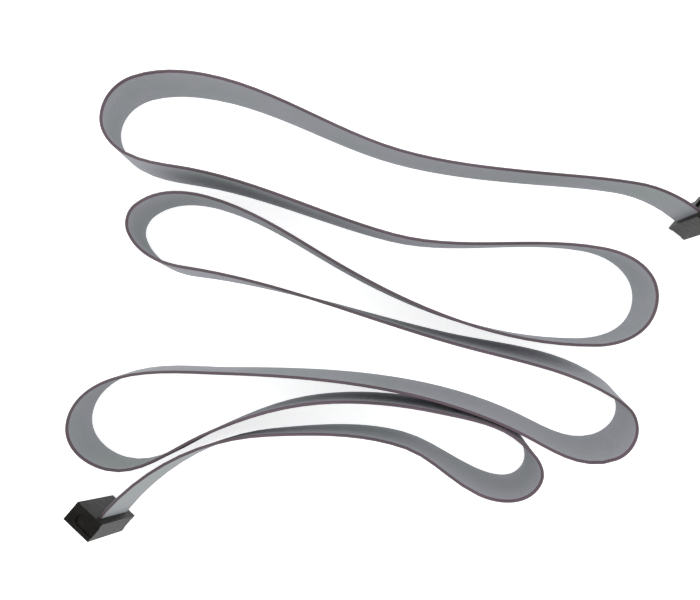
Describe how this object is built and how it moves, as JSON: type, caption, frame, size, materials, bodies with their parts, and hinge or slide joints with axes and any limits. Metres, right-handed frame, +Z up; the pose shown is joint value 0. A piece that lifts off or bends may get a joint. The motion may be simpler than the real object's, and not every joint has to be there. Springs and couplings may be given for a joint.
{
  "type": "ribbon cable",
  "caption": "Flat grey ribbon cable with a red edge wire, laid on its edge in long S-bends, with a black pressed-on pin socket at each end.",
  "frame": {"origin": "middle of the box around the part, on the surface it stands on", "axes": "+X along the long side of the lay, +Z up from the surface"},
  "size_m": [0.1912, 0.1362, 0.0267],
  "materials": {
    "insulation": "soft vinyl, grey, with a printed dark red edge wire",
    "copper": "bare stranded copper",
    "socket": "moulded, dark charcoal",
    "contact": "plated copper alloy strip"
  },
  "bodies": {
    "root": {"insulation": "insulation", "socket_a_body": "socket", "socket_a_cover": "socket", "socket_b_body": "socket", "socket_b_cover": "socket", "conductor_01": "copper", "conductor_02": "copper", "conductor_03": "copper", "conductor_04": "copper", "conductor_05": "copper", "conductor_06": "copper", "conductor_07": "copper", "conductor_08": "copper", "conductor_09": "copper", "conductor_10": "copper", "conductor_11": "copper", "conductor_12": "copper", "conductor_13": "copper", "conductor_14": "copper", "conductor_15": "copper", "conductor_16": "copper", "contact_a_01": "contact", "contact_a_02": "contact", "contact_a_03": "contact", "contact_a_04": "contact", "contact_a_05": "contact", "contact_a_06": "contact", "contact_a_07": "contact", "contact_a_08": "contact", "contact_a_09": "contact", "contact_a_10": "contact", "contact_a_11": "contact", "contact_a_12": "contact", "contact_a_13": "contact", "contact_a_14": "contact", "contact_a_15": "contact", "contact_a_16": "contact", "contact_b_01": "contact", "contact_b_02": "contact", "contact_b_03": "contact", "contact_b_04": "contact", "contact_b_05": "contact", "contact_b_06": "contact", "contact_b_07": "contact", "contact_b_08": "contact", "contact_b_09": "contact", "contact_b_10": "contact", "contact_b_11": "contact", "contact_b_12": "contact", "contact_b_13": "contact", "contact_b_14": "contact", "contact_b_15": "contact", "contact_b_16": "contact"}
  },
  "joints": []
}
